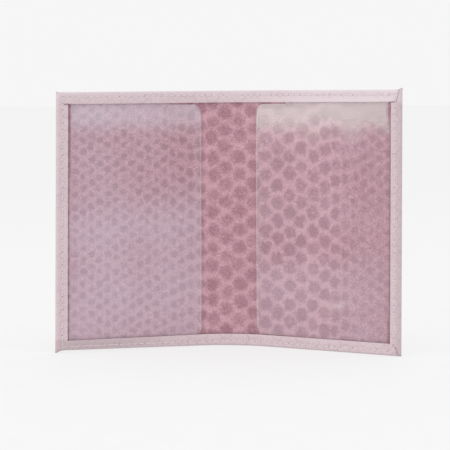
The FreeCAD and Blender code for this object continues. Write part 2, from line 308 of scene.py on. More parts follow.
# How far the corner's point stands out, and how dark its tip is.
EARS = {
    (RIGHT, TOP): (1.0, 1.0), (RIGHT, BOTTOM): (0.0, 0.8),
    (LEFT, TOP): (0.3, 0.5), (LEFT, BOTTOM): (0.0, 1.3)}


def insets(across, up):
    """Distances in from the side edge, from the nearer long edge, and which long edge that is."""
    return HALF_WIDTH - np.abs(across), np.minimum(up, HEIGHT - up), np.where(up > HEIGHT / 2, TOP, BOTTOM)


def gap_to_path(x, y, path):
    """Distance from each point to a line of straight runs."""
    nearest = np.full(np.shape(x), np.inf)
    for (ax, ay), (bx, by) in zip(path[:-1], path[1:]):
        dx, dy = bx - ax, by - ay
        t = np.clip(((x - ax) * dx + (y - ay) * dy) / (dx * dx + dy * dy), 0, 1)
        nearest = np.minimum(nearest, np.hypot(x - ax - t * dx, y - ay - t * dy))
    return nearest


def creases(across, up):
    """1 in the lines where two hems meet at a corner."""
    side_inset, edge_inset, end = insets(across, up)
    found = np.zeros(np.shape(side_inset))
    for (side, edge), path in CREASES.items():
        here = (np.sign(across) == side) & (end == edge) & (side_inset < 9) & (edge_inset < 9)
        line = bump_at(gap_to_path(side_inset, edge_inset, path), CREASE_WIDTH)
        found = np.where(here, np.maximum(found, line), found)
    return found


def tips(across, up, which):
    """Each corner's ear: how far it stands out (which 0) or how dark it is (which 1)."""
    side_inset, edge_inset, end = insets(across, up)
    found = np.zeros(np.shape(side_inset))
    for (side, edge), strengths in EARS.items():
        here = (np.sign(across) == side) & (end == edge)
        reach = (side_inset + 0.8 * edge_inset) / (1.6 if which == 0 else 0.8)
        found = np.where(here, strengths[which] * np.exp(-reach ** 1.3), found)
    return found


def stitch_groove(across, up):
    """1 along the stitch lines, where the thread pulls the leather in."""
    side_inset, edge_inset, _ = insets(across, up)
    in_from_side = np.where(edge_inset > 1.2, bump_at(side_inset - SIDE_STITCH_INSET, GROOVE_WIDTH), 0)
    in_from_edge = np.where(side_inset > 2.4, bump_at(edge_inset - EDGE_STITCH_INSET, GROOVE_WIDTH), 0)
    return np.maximum(in_from_side, in_from_edge)


def on_hem(edge_inset):
    """1 over a long hem, fading just past it."""
    return smooth(HEM_WIDTH + 1, HEM_WIDTH, edge_inset)


def foot_and_fold_shade(across, up):
    """Painted shade on the grain side: along the foot, more so on the left, and on the right fold."""
    side_inset, edge_inset, end = insets(across, up)
    foot = FOOT_DARK * smooth(-15, -70, across) * on_hem(edge_inset)
    foot = (end == BOTTOM) * np.maximum(foot, EDGE_DARK * bump_at(edge_inset, 0.7))
    fold = FOLD_DARK * (across > 0) * smooth(3.0, 2.0, side_inset)
    return np.maximum(foot, fold)


def top_hem_light(across, up):
    """Painted light on the grain side's top hem, all of it on the right."""
    _, edge_inset, end = insets(across, up)
    right = smooth(0, 50, across)
    left = 0.5 * smooth(4.5, 2.5, edge_inset)
    return (end == TOP) * on_hem(edge_inset) * np.maximum(right, left)


def shadow_strip_width(side, up):
    """How wide the painted shadow strip beside a side hem is, where the film shows no painted haze: wider at
    the top, and on the right at the foot.
    """
    if side == LEFT:
        return 0.55 + 1.1 * (0.3 + 0.7 * smooth(70, 120, up))
    return 0.8 + 0.9 * (smooth(28, 8, up) + smooth(112, 121, up))


def tuck_shade(side, up, side_inset):
    """Painted shadow of a side hem on the flesh side beside it, and a thin painted shadow along its foot."""
    width = shadow_strip_width(side, up)
    beside = smooth(HEM_WIDTH + width + 0.3, HEM_WIDTH + width - 0.2, side_inset)
    if side == LEFT:
        dark = 0.3 + 0.7 * smooth(60, 110, up)
    else:
        dark = smooth(28, 12, np.minimum(up, HEIGHT - up))
    return np.maximum(beside * dark, bump_at(side_inset - HEM_WIDTH, 0.5))


def lip_shadow(side, reach, up):
    """The soft shadow that the film's free edge throws on the flesh side, towards the spine."""
    low, high = film_edge(side, BOTTOM, MOUTH[side]), HEIGHT - film_edge(side, TOP, MOUTH[side])
    beside = bump_at(reach - MOUTH[side] + SHOWN_BEYOND + 0.8, 0.75)
    along = smooth(low - 0.5, low + 1.5, up) * smooth(high + 0.5, high - 1.5, up)
    return LIP_SHADE[side] * beside * along


def film_haze_and_reflection(side, reach, up):
    """How much of the film's haze and reflection is painted on the flesh side under it."""
    top = smooth(HEIGHT - 24, HEIGHT - 12, up)
    cloud = 0.02 * wander(side * reach, up, 30.0, 33)
    if side == RIGHT:
        return 0.06 + cloud + 0.08 * smooth(60, 25, up) + 0.10 * top
    upper = smooth(60, 100, up)
    outer = smooth(35, 75, reach)
    return 0.05 + cloud + (1 - upper) * (0.17 + 0.03 * outer) + 0.09 * upper * outer + 0.20 * top


def fold_drop(inset):
    """How far the rounded fold falls away from a face, near the edge."""
    short = np.clip(FOLD_RADIUS - inset, 0, FOLD_RADIUS)
    return FOLD_RADIUS - np.sqrt(FOLD_RADIUS ** 2 - short ** 2)


def hem_pattern(across, up):
    """The embossing on the hem: the skin's own pattern, carried on round the fold."""
    side_inset, edge_inset, end = insets(across, up)
    beyond = math.pi * FOLD_RADIUS / 2
    on_side = side_inset < edge_inset
    over = np.sign(across) * (HALF_WIDTH + beyond + side_inset)
    past = np.where(end == TOP, HEIGHT + beyond + edge_inset, -beyond - edge_inset)
    return embossing(np.where(on_side, over, across), np.where(on_side, up, past))


def on_face(inset):
    """0 at the edge of the fold, 1 on the faces beside it."""
    return smooth(0.2, 1.4, inset)


def outer_depth(across, up, pattern):
    """How far in the outer face lies, with its scales and the groove of its stitches."""
    side_inset, edge_inset, _ = insets(across, up)
    inset = np.minimum(side_inset, edge_inset)
    relief = SCALE_HEIGHT * pattern - STITCH_GROOVE * stitch_groove(across, up)
    return -LEATHER + fold_drop(inset) - on_face(inset) * relief


def hem_depth(across, up, pattern):
    """How far in the hem's face lies, with its relief, its overlap at the corners and its creases."""
    side_inset, edge_inset, _ = insets(across, up)
    inset = np.minimum(side_inset, edge_inset)
    relief = HEM_SCALE_HEIGHT * (pattern - 0.5) - STITCH_GROOVE * stitch_groove(across, up)
    rolled = ROLLED_DEPTH * smooth(HEM_WIDTH - ROLLED_WIDTH, HEM_WIDTH, inset)
    overlap = OVERLAP * smooth(16, 7, side_inset) * (edge_inset < HEM_WIDTH - 0.1)
    relief = relief + overlap - CREASE_DEPTH * creases(across, up)
    return HEM_FACE - fold_drop(inset) + on_face(inset) * relief - rolled


# ---------------------------------------------------------------- the leather's mesh

GRID_STEP = 0.6
# Insets of the mesh's lines round the fold and then across the hem. A ring is a line's number.
FOLD_LINES = FOLD_RADIUS * (1 - np.cos(np.linspace(0, math.pi / 2, 6)))
HEM_LINES = np.concatenate([FOLD_LINES, np.linspace(FOLD_RADIUS, HEM_WIDTH - 0.3, 11)[1:], [HEM_WIDTH]])
SLOT_RING = len(FOLD_LINES) - 1
HEM_RING = len(HEM_LINES) - 1
# The right cover's side hem is this much narrower than the rest.
NARROW = 0.5
GRAIN, FLESH, EDGE = 0, 1, 2


def leather_half(side, grain, flesh, edge):
    """Half of the leather: a cover and half the spine, with the hems turned in, closed all round."""
    reach_lines = np.concatenate([
        even_steps(0, HALF_WIDTH - HEM_WIDTH, GRID_STEP)[:-1], HALF_WIDTH - HEM_LINES[::-1]])
    up_lines = np.concatenate([
        HEM_LINES[:-1], even_steps(HEM_WIDTH, HEIGHT - HEM_WIDTH, GRID_STEP), HEIGHT - HEM_LINES[-2::-1]])
    reach, up = np.meshgrid(reach_lines, up_lines, indexing="ij")
    across = side * np.maximum(reach, 1e-6)
    column, row = np.indices(reach.shape)
    columns, rows = reach.shape
    column_ring = columns - 1 - column
    ring = np.minimum(column_ring, np.minimum(row, rows - 1 - row))

    body = embossing(across, up)
    turned = hem_pattern(across, up)
    dark = spots(across, up)
    # Painted shade in the corner creases, along the foot and on the right fold, with the darker corner tips.
    shade_and_tips = np.maximum(np.maximum(creases(across, up), tips(across, up, 1)), foot_and_fold_shade(across, up))
    # Painted light on the top hem, which faces up to the light.
    pale = top_hem_light(across, up)
    side_inset, _, end = insets(across, up)
    shown_up = up + end * EAR * tips(across, up, 0)
    # Painted shadows beside the side hems and beside each film's free edge.
    painted_shadow = np.maximum(tuck_shade(side, up, side_inset), lip_shadow(side, reach, up))
    # Where the film's painted shade goes on the leather under it.
    covered = film_over(side, reach, up)
    # The film's haze and reflection, painted on the leather under it.
    haze_and_reflection = covered * film_haze_and_reflection(side, reach, up) * (side_inset > HEM_WIDTH + shadow_strip_width(side, up))
    hem_across = across + (side == RIGHT) * NARROW * smooth(4, HEM_WIDTH, side_inset) * (ring == column_ring)

    # Each layer: where it is, how far in, its pattern, and where its painted shade and light and the darker
    # corner tips go.
    # The outer face and the hem share the edge of the fold, and the other layers meet in strips.
    everywhere = ring >= 0
    layers = {
        "outer": (everywhere, outer_depth(across, up, body), body, ring < SLOT_RING),
        "hem": ((ring > 0) & (ring <= HEM_RING), hem_depth(across, up, turned), turned, everywhere),
        "under": ((ring >= SLOT_RING) & (ring <= HEM_RING), np.full(up.shape, SLOT), dark, ~everywhere),
        "inner": (ring >= SLOT_RING, -SPOT_DEPTH * dark, dark, ~everywhere),
    }
    ids, points, skin, total = {}, [], [], 0
    values = {label: [] for label in ("pattern", "shade_and_tips", "pale", "shadow_paint", "covered", "haze_and_reflection")}
    for label, (there, depth, raised, marked) in layers.items():
        ids[label] = np.full(up.shape, -1)
        ids[label][there] = total + np.arange(there.sum())
        total += int(there.sum())
        turned_across = hem_across if label in ("hem", "under") else across
        points.append(place(turned_across[there], shown_up[there], depth[there]))
        fields = (raised, shade_and_tips * marked, pale * marked, painted_shadow, covered, haze_and_reflection)
        for found, field in zip(values.values(), fields):
            found.append(field[there])
        skin.append(np.stack([across[there], up[there], depth[there]], axis=1))
    ids["hem"][ring == 0] = ids["outer"][ring == 0]

    parts = [
        (cells(ids["outer"])[:, ::-1], GRAIN),
        (cells(ids["hem"]), GRAIN),
        (cells(ids["under"])[:, ::-1], FLESH),
        (cells(ids["inner"]), FLESH),
        (strip(ids["hem"], ids["under"], HEM_RING), EDGE),
        (strip(ids["under"], ids["inner"], SLOT_RING), FLESH),
        (spine_cut(ids), FLESH),
    ]
    faces, kinds = [], []
    for part, kind in parts:
        faces += [list(map(int, face)) for face in part]
        kinds += [kind] * len(part)
    if side == LEFT:
        faces = [face[::-1] for face in faces]
    skin = np.concatenate(skin)
    return new_piece(
        f"{SIDE_NAMES[side]}_leather", np.concatenate(points), faces, (grain, flesh, edge), kinds,
        {label: np.concatenate(found) for label, found in values.items()}, {"skin": skin},
        stitch_line_uv(faces, np.abs(skin[:, 0]), skin[:, 1]))


def strip(first, second, ring):
    """Quads between two layers along one ring, from the spine round the cover and back to the spine."""
    last_column, last_row = first.shape[0] - 1 - ring, first.shape[1] - 1 - ring
    path = [(column, ring) for column in range(last_column)]
    path += [(last_column, row) for row in range(ring, last_row)]
    path += [(column, last_row) for column in range(last_column, -1, -1)]
    a = np.array([first[place_on_grid] for place_on_grid in path])
    b = np.array([second[place_on_grid] for place_on_grid in path])
    return np.stack([a[:-1], a[1:], b[1:], b[:-1]], axis=1)


def spine_cut(ids):
    """The closed end at the middle of the spine, where the other half continues the leather."""
    outer, hem, under, inner = (ids[label][0].tolist() for label in ("outer", "hem", "under", "inner"))
    last = len(outer) - 1
    faces = []
    for row in range(last):
        upper = row + 1
        panel = [outer[row], outer[upper], inner[upper], inner[row]]
        hem_side = [under[row], under[upper], hem[upper], hem[row]]
        if min(inner[row], inner[upper]) >= 0:
            faces.append(panel[::-1])
            if min(under[row], under[upper]) >= 0:
                faces.append(hem_side[::-1])
        else:
            # Round the fold the panel and the hem are one thickness.
            rim = [outer[row], outer[upper], inner[upper], under[upper]]
            rim += [hem[upper], hem[row], under[row], inner[row]]
            kept = list(dict.fromkeys(number for number in rim if number >= 0))
            faces.append(kept[::-1])
    return faces


def stitch_run(start, end):
    """The first needle hole of a line of stitches, and the step from hole to hole."""
    return start, (end - start) / round((end - start) / STITCH_PITCH)


SIDE_RUN = stitch_run(EDGE_STITCH_INSET, HEIGHT - EDGE_STITCH_INSET)
EDGE_RUN = stitch_run(HALF_SPINE, HALF_WIDTH - SIDE_STITCH_INSET)


def stitch_line_uv(faces, reach, up):
    """At each face corner: holes counted along the nearest stitch line, and millimetres off the line."""
    corners = np.array([number for face in faces for number in face])
    lengths = np.array([len(face) for face in faces])
    face_of = np.repeat(np.arange(len(faces)), lengths)
    side_inset = HALF_WIDTH - reach[corners]
    edge_inset = np.minimum(up[corners], HEIGHT - up[corners])
    lead = np.bincount(face_of, side_inset - edge_inset) / lengths
    on_side = (lead < SIDE_STITCH_INSET - EDGE_STITCH_INSET)[face_of]
    count = np.where(
        on_side, (up[corners] - SIDE_RUN[0]) / SIDE_RUN[1], (reach[corners] - EDGE_RUN[0]) / EDGE_RUN[1])
    off = np.where(on_side, side_inset - SIDE_STITCH_INSET, edge_inset - EDGE_STITCH_INSET)
    return np.stack([count, off], axis=-1)


# ---------------------------------------------------------------- the thread

THREAD_RADIUS = 0.21
THREAD_SIDES = 10
THREAD_STEPS = 12
# A stitch stands this far out at its middle and dives this far from there at its ends.
STITCH_RISE = 0.13
STITCH_DIP = 0.42
DIVE_POWER = 6
STITCH_SLANT = 0.14
HOLE_RADIUS = 0.1
# How closely a stitch follows the surface under it, its twist, and how deep its plies are cut.
FOLLOW = 0.3
TWIST = 7.5
PLY_DEPTH = 0.14


def stitch_places(side):
    """(across, up, run) for each stitch's middle on one half; run is the way the stitch points."""
    places = []
    first, step = SIDE_RUN
    for number in range(round((HEIGHT - 2 * first) / step)):
        places.append((side * (HALF_WIDTH - SIDE_STITCH_INSET), first + step * (number + 0.5), (0, 1)))
    first, step = EDGE_RUN
    last = round((HALF_WIDTH - SIDE_STITCH_INSET - first) / step)
    # The stitch on the middle of the spine belongs to the left half.
    for number in range(-2 if side == LEFT else -1, last):
        for up in (EDGE_STITCH_INSET, HEIGHT - EDGE_STITCH_INSET):
            places.append((side * (first + step * (number + 0.5)), up, (1, 0)))
    return places


def stitch_points(across, up, run, face):
    """Rings of points round one stitch, which dives into its needle holes at both ends."""
    t = np.linspace(-1, 1, THREAD_STEPS)
    half = STITCH_PITCH / 2 - HOLE_RADIUS
    slant = STITCH_SLANT * np.sin(t * math.pi / 2)
    path_across = across + run[0] * half * t + run[1] * slant
    path_up = up + run[1] * half * t + run[0] * slant
    lift = STITCH_RISE - STITCH_DIP * np.abs(t) ** DIVE_POWER
    if face == "hem":
        surface, way = hem_depth(path_across, path_up, hem_pattern(path_across, path_up)), 1
    else:
        surface, way = outer_depth(path_across, path_up, embossing(path_across, path_up)), -1
    surface = surface.mean() + FOLLOW * (surface - surface.mean())
    around = np.linspace(0, 2 * math.pi, THREAD_SIDES, endpoint=False)
    t_grid, angle = np.meshgrid(t, around, indexing="ij")
    twist = angle * 2 + t_grid * TWIST
    radius = THREAD_RADIUS * (1 + PLY_DEPTH * np.cos(twist)) * (1 - 0.15 * np.abs(t_grid) ** 4)
    out = radius * np.cos(angle)
    wide = radius * np.sin(angle)
    points = place(
        path_across[:, None] + run[1] * wide, path_up[:, None] + run[0] * wide,
        surface[:, None] + way * (lift[:, None] + out))
    flip = (way > 0) ^ (run[0] == 1)
    return points.reshape(-1, 3), twist.ravel(), bool(flip)


def thread_half(side, thread):
    """All the stitches of one half, on both faces of the leather."""
    grid = np.arange(THREAD_STEPS * THREAD_SIDES).reshape(THREAD_STEPS, THREAD_SIDES)
    tube = cells(np.concatenate([grid, grid[:, :1]], axis=1)).tolist()
    ends = [grid[0].tolist(), grid[-1, ::-1].tolist()]
    points, twists, faces = [], [], []
    for across, up, run in stitch_places(side):
        for face in ("hem", "outer"):
            ring, twist, flip = stitch_points(across, up, run, face)
            start = len(points) * grid.size
            loops = [[start + number for number in loop] for loop in tube + ends]
            faces += [loop[::-1] for loop in loops] if flip else loops
            points.append(ring)
            twists.append(twist)
    return new_piece(
        f"{SIDE_NAMES[side]}_stitching", np.concatenate(points), faces, (thread,), [0] * len(faces),
        {"twist": np.concatenate(twists)})


# ---------------------------------------------------------------- the films

FILM = 0.25
FILM_PLAY = 0.03
# How far inside the fold a film's sewn-in edges are.
FILM_INSET = 1.3
# How high the film arches off the leather in the pocket and at its mouth, and the lift of the mouth's
# edge. It lies nearly flat and turns down to the hem over the last stretch of its height.
POCKET_RISE, MOUTH_RISE, MOUTH_LIFT = 1.2, 1.4, 0.55
ARCH_POWER = 6
WAVE = 0.10
# The lip's clearance from the hem and the radius of its free corner.
LIP_CLEARANCE = {(LEFT, TOP): 0.9, (LEFT, BOTTOM): 0.2, (RIGHT, TOP): 1.0, (RIGHT, BOTTOM): 0.5}
LIP_CORNER = {(LEFT, TOP): 4.4, (LEFT, BOTTOM): 2.4, (RIGHT, TOP): 3.6, (RIGHT, BOTTOM): 3.6}
# The film widens from the lip to its sewn-in edge just before the pocket: where, and over how much.
WIDEN_BEFORE, WIDEN_IN = 1.8, 1.6
# How wide the painted highlight along the film's cut edges is.
EDGE_HIGHLIGHT_WIDTH = 0.4
# Seen from the front, the standing mouth hides this much more leather than lies under it.
SHOWN_BEYOND = 0.6
# Half the width over which a film's shade on the leather ends.
FADE = 0.3
# How milky the film is at least, and how strong its painted reflection is at its top and in a patch low on
# the right.
CLEAR_VEIL, PATCH_REFLECTION = 0.01, 0.22
TOP_REFLECTION = {LEFT: 0.13, RIGHT: 0.36}
PATCH_REACH, PATCH_UP = 59, 23.7
# Distances from the mouth of the mesh's first lines, and shares of the height of its first rows.
MOUTH_LINES = np.array([0, 0.15, 0.35, 0.6, 0.95, 1.4, 1.9, 2.5, 3.2, 4.0])
EDGE_ROWS = np.array([0, 0.0025, 0.005, 0.009, 0.015])
GLOSS, HAZE = 0, 1


def film_edge(side, end, reach):
    """How far in from the long edge the film ends, at each distance from the spine."""
    from_mouth = reach - MOUTH[side]
    corner = LIP_CORNER[side, end]
    short = np.clip(corner - from_mouth, 0, corner)
    lip = HEM_WIDTH + LIP_CLEARANCE[side, end] + corner - np.sqrt(corner ** 2 - short ** 2)
    held = np.clip((from_mouth - LIP_LENGTH + WIDEN_BEFORE) / WIDEN_IN, 0, 1)
    return lip + (FILM_INSET - lip) * held


def film_over(side, reach, up):
    """1 where the film lies over the leather, fading at the film's edges; the film's painted shade, haze and
    reflection go here.
    """
    low, high = film_edge(side, BOTTOM, reach), HEIGHT - film_edge(side, TOP, reach)
    mouth = MOUTH[side] - SHOWN_BEYOND
    return (
        smooth(mouth - FADE, mouth + FADE, reach) * smooth(low - FADE, low + FADE, up)
        * smooth(high + FADE, high - FADE, up))


def film_depth(side, reach, up):
    """How far the back of the film stands off the leather: tight under the hem, arched at the mouth."""
    kink = MOUTH[side] + LIP_LENGTH
    hem_end = HALF_WIDTH - HEM_WIDTH
    held = np.clip((hem_end - reach) / (hem_end - kink), 0, 1)
    out = np.clip((kink - reach) / LIP_LENGTH, 0, 1)
    rise = POCKET_RISE * held + (MOUTH_RISE - POCKET_RISE) * out
    half = HEIGHT / 2 - HEM_WIDTH
    arch = np.clip(1 - np.abs((up - HEIGHT / 2) / half) ** ARCH_POWER, 0, 1)
    wave = 1 + wander(side * reach, up, 34.0, 21)
    return FILM_PLAY + MOUTH_LIFT * out ** 1.5 + rise * arch + WAVE * wave * np.minimum(arch * 3, 1) * held


def film_milk_and_reflection(side, reach, up):
    """How milky the film is: clear, but for painted reflection at its top and in a patch low on the right."""
    top = smooth(HEIGHT - 25, HEIGHT - 13, up + 3.0 * wander(side * reach, up, 22.0, 31))
    cloud = 0.5 + 0.5 * wander(side * reach, up, 40.0, 32)
    milk_and_reflection = CLEAR_VEIL + TOP_REFLECTION[side] * top + CLEAR_VEIL * cloud
    clear_from = HALF_WIDTH - HEM_WIDTH - shadow_strip_width(side, up)
    shown = smooth(clear_from + 0.2, clear_from - 0.5, reach)
    if side == RIGHT:
        along = reach - PATCH_REACH
        milk_and_reflection = milk_and_reflection + PATCH_REFLECTION * bump_at(along, 5.0) * bump_at(up - PATCH_UP - 0.05 * along, 1.7)
        shown = np.maximum(shown, smooth(10, 26, np.minimum(up, HEIGHT - up)))
    return milk_and_reflection * shown


def film_sheet(side, gloss, haze):
    """One clear film: pocket and free lip in one sheet, with its cut edges closed."""
    mouth, kink = MOUTH[side], MOUTH[side] + LIP_LENGTH
    reach_lines = np.concatenate([
        mouth + MOUTH_LINES,
        even_steps(mouth + 4.8, kink - 2.0, 0.8), kink - np.array([1.8, 1.4, 1.0, 0.6, 0.2]),
        even_steps(kink + 0.4, HALF_WIDTH - FILM_INSET, 1.1)])
    share = np.concatenate([EDGE_ROWS, np.linspace(0.022, 0.978, 100), 1 - EDGE_ROWS[::-1]])
    reach, share = np.meshgrid(reach_lines, share, indexing="ij")
    low = film_edge(side, BOTTOM, reach)
    high = HEIGHT - film_edge(side, TOP, reach)
    up = low + (high - low) * share
    depth = film_depth(side, reach, up)
    to_edge = np.minimum(reach - mouth, np.minimum(up - low, high - up) + 20 * smooth(kink - 2, kink, reach))
    # Painted highlight along the film's cut edges.
    rim = bump_at(to_edge, EDGE_HIGHLIGHT_WIDTH)
    back = place(side * reach, up, depth)
    front = place(side * reach, up, depth + FILM)
    ids = np.arange(reach.size).reshape(reach.shape)
    border = np.concatenate([ids[:, 0], ids[-1, 1:], ids[-2::-1, -1], ids[0, -2:0:-1], ids[:1, 0]])
    rim_faces = np.stack([border[:-1], border[1:], border[1:] + reach.size, border[:-1] + reach.size], axis=1)
    faces = np.concatenate([cells(ids)[:, ::-1], cells(ids) + reach.size, rim_faces])
    kinds = [HAZE] * len(cells(ids)) + [GLOSS] * len(cells(ids)) + [HAZE] * len(rim_faces)
    milk_and_reflection = film_milk_and_reflection(side, reach, up).ravel()
    if side == LEFT:
        faces = faces[:, ::-1]
    skin = np.stack([side * reach.ravel(), up.ravel(), depth.ravel()], axis=1)
    points = np.concatenate([back.reshape(-1, 3), front.reshape(-1, 3)])
    return new_piece(
        f"{SIDE_NAMES[side]}_film", points, faces.tolist(), (gloss, haze), kinds,
        {"rim": np.tile(rim.ravel(), 2), "milk_and_reflection": np.tile(milk_and_reflection, 2), "across": np.tile(skin[:, 0], 2)},
        {"skin": np.tile(skin, (2, 1))})


# ---------------------------------------------------------------- materials

class Material:
    """A node material being built: each call adds a node, links its inputs and gives its output."""

    def __init__(self, name):
        self.made = bpy.data.materials.new(name)
        self.made.use_nodes = True
        self.nodes = self.made.node_tree.nodes
        self.links = self.made.node_tree.links
        self.surface = next(node for node in self.nodes if node.type == "BSDF_PRINCIPLED")

    def put(self, socket, value):
        if isinstance(value, bpy.types.NodeSocket):
            self.links.new(value, socket)
        elif socket.type == "RGBA":
            socket.default_value = (*value, 1)
        else:
            socket.default_value = value

    def add(self, kind, inputs=None, output=0, **settings):
        node = self.nodes.new(kind)
        for label, value in settings.items():
            setattr(node, label, value)
        for label, value in (inputs or {}).items():
            self.put(node.inputs[label], value)
        return node.outputs[output]

    def attribute(self, label, output="Fac"):
        return self.add("ShaderNodeAttribute", output=output, attribute_name=label)

    def noise(self, scale, detail=2.0, roughness=0.5, vector=None, distortion=0.0):
        inputs = {"Scale": scale, "Detail": detail, "Roughness": roughness, "Distortion": distortion}
        if vector is not None:
            inputs["Vector"] = vector
        return self.add("ShaderNodeTexNoise", inputs)

    def math(self, operation, first, second=0.0, clamp=False):
        return self.add("ShaderNodeMath", {0: first, 1: second}, operation=operation, use_clamp=clamp)

    def ramp(self, value, low, high, to_low=0.0, to_high=1.0):
        return self.add("ShaderNodeMapRange", {
            "Value": value, "From Min": low, "From Max": high, "To Min": to_low, "To Max": to_high},
            interpolation_type="SMOOTHSTEP")

    def mix(self, share, first, second, blend="MIX"):
        node = self.nodes.new("ShaderNodeMix")
        node.data_type = "RGBA"
        node.blend_type = blend
        self.put(node.inputs[0], share)
        self.put(node.inputs[6], first)
        self.put(node.inputs[7], second)
        return node.outputs[2]

    def grey(self, value):
        return self.add("ShaderNodeCombineColor", {"Red": value, "Green": value, "Blue": value})

    def bump(self, height, distance, strength=1.0, normal=None):
        inputs = {"Height": height, "Distance": distance, "Strength": strength}
        if normal is not None:
            inputs["Normal"] = normal
        return self.add("ShaderNodeBump", inputs)

    def finish(self, **inputs):
        for label, value in inputs.items():
            self.put(self.surface.inputs[label.replace("_", " ")], value)
        return self.made


def rgb(red, green, blue):
    """A colour given in screen values from 0 to 255, as the linear values that shaders take."""
    return tuple(
        value / 255 / 12.92 if value <= 10 else ((value / 255 + 0.055) / 1.055) ** 2.4
        for value in (red, green, blue))


def grain_leather():
    """The grain side: pale pink, embossed with scales, with needle holes along the stitch line; painted shade
    in the holes, creases, puckers, foot and right fold, painted light on the top hem and puckers.
    """
    m = Material("grain_leather")
    skin = m.attribute("skin", "Vector")
    raised = m.attribute("pattern")
    worn = m.ramp(m.noise(0.14, 2, vector=skin), 0.35, 0.65, 0.15, 0.6)
    in_line = m.math("MULTIPLY", m.ramp(raised, 0.65, 0.1), worn)
    tone = m.mix(in_line, rgb(209, 189, 195), rgb(184, 160, 168))
    cloud = m.ramp(m.noise(0.07, 3, vector=skin), 0.35, 0.65)
    tone = m.mix(m.math("MULTIPLY", cloud, 0.4), tone, rgb(214, 197, 200))
    speck = m.noise(1.3, 4, 0.65, skin)
    tone = m.mix(1.0, tone, m.grey(m.ramp(speck, 0.3, 0.7, 0.93, 1.06)), "MULTIPLY")
    # Painted light on the top hem.
    tone = m.mix(m.attribute("pale"), tone, rgb(221, 206, 211))
    line = m.nodes.new("ShaderNodeSeparateXYZ")
    m.put(line.inputs[0], m.add("ShaderNodeUVMap", uv_map="stitch_line"))
    to_hole = m.math("SUBTRACT", m.math("FRACT", m.math("ADD", line.outputs[0], 0.5)), 0.5)
    along = m.math("MULTIPLY", to_hole, STITCH_PITCH)
    off_line = m.math("ABSOLUTE", line.outputs[1])
    apart = m.math("SQRT", m.math("ADD", m.math("POWER", along, 2.0), m.math("POWER", off_line, 2.0)))
    # How dark each needle hole's painted shade is, a little different from hole to hole.
    which = m.math("FLOOR", m.math("ADD", line.outputs[0], 0.5))
    deep = m.add("ShaderNodeTexWhiteNoise", {"W": which}, noise_dimensions="1D")
    hole = m.math("MULTIPLY", m.ramp(apart, 0.48, 0.15), m.ramp(deep, 0, 1, 0.35, 1.1))
    # Painted shade in the needle holes, the corner creases, along the foot and on the right fold, with the
    # darker corner tips.
    dark = m.math("MAXIMUM", m.math("MULTIPLY", hole, 0.5), m.math("MULTIPLY", m.attribute("shade_and_tips"), 0.6))
    beside_line = m.ramp(off_line, 2.6, 0.6)
    pucker = m.noise(0.9, 3, 0.6, skin, 1.0)
    # Painted shade in the dips of the puckers beside the stitch line, and painted highlight on their crests.
    pucker_shade = m.math("MULTIPLY", m.math("MULTIPLY", beside_line, m.ramp(pucker, 0.5, 0.7)), 0.42)
    pucker_highlight = m.math("MULTIPLY", m.math("MULTIPLY", beside_line, m.ramp(pucker, 0.48, 0.3)), 0.5)
    tone = m.mix(pucker_shade, tone, rgb(176, 152, 160))
    tone = m.mix(pucker_highlight, tone, rgb(226, 212, 216))
    tone = m.mix(dark, tone, rgb(96, 74, 81))
    pores = m.add("ShaderNodeTexVoronoi", {"Vector": skin, "Scale": 1.9})
    relief = m.math("ADD", m.math("MULTIPLY", pores, 0.5), m.noise(3.2, 3, 0.6, skin))
    relief = m.math("SUBTRACT", relief, m.math("MULTIPLY", m.math("MULTIPLY", beside_line, pucker), 2.5))
    relief = m.math("SUBTRACT", relief, m.math("MULTIPLY", hole, 2.0))
    rough = m.ramp(m.noise(0.8, 2, vector=skin), 0.3, 0.7, 0.42, 0.56)
    return m.finish(
        Base_Color=tone, Roughness=rough, Normal=m.bump(relief, 0.00012, 0.75),
        Specular_IOR_Level=0.42, Sheen_Weight=0.08)


# Painted shade of the film: how bright the leather under a film is, beside the leather in the open.
FILM_SHADE = 0.93


def flesh_leather():
    """The flesh side: dusty rose, napped and fibrous, with the scales showing through as dark spots; the
    films' painted shade, haze and reflection and the hems' painted shadows lie on it.
    """
    m = Material("flesh_leather")
    skin = m.attribute("skin", "Vector")
    fray = m.ramp(m.noise(0.7, 6, 0.65, skin, 1.5), 0.3, 0.7, -0.42, 0.42)
    spot = m.math("ADD", m.attribute("pattern"), fray)
    tone = m.mix(m.ramp(spot, -0.25, 1.15), rgb(206, 163, 174), rgb(163, 121, 133))
    fibre = m.noise(1.5, 5, 0.75, skin, 2.0)
    tone = m.mix(1.0, tone, m.grey(m.ramp(fibre, 0.34, 0.66, 0.78, 1.21)), "MULTIPLY")
    # Painted shade of the film on the leather under it.
    tone = m.mix(m.attribute("covered"), tone, m.mix(1.0, tone, (FILM_SHADE,) * 3, "MULTIPLY"))
    # The film's haze and reflection, painted on the leather under it.
    tone = m.mix(m.attribute("haze_and_reflection"), tone, rgb(226, 224, 240))
    # Painted shadows beside the side hems and the films' free edges.
    tone = m.mix(m.math("MULTIPLY", m.attribute("shadow_paint"), 0.48), tone, rgb(146, 108, 120))
    nap = m.math("ADD", m.noise(2.6, 4, 0.7, skin), m.math("MULTIPLY", fibre, 0.8))
    return m.finish(
        Base_Color=tone, Roughness=0.9, Normal=m.bump(nap, 0.00018, 0.6),
        Specular_IOR_Level=0.2, Sheen_Weight=0.15, Sheen_Roughness=0.5)


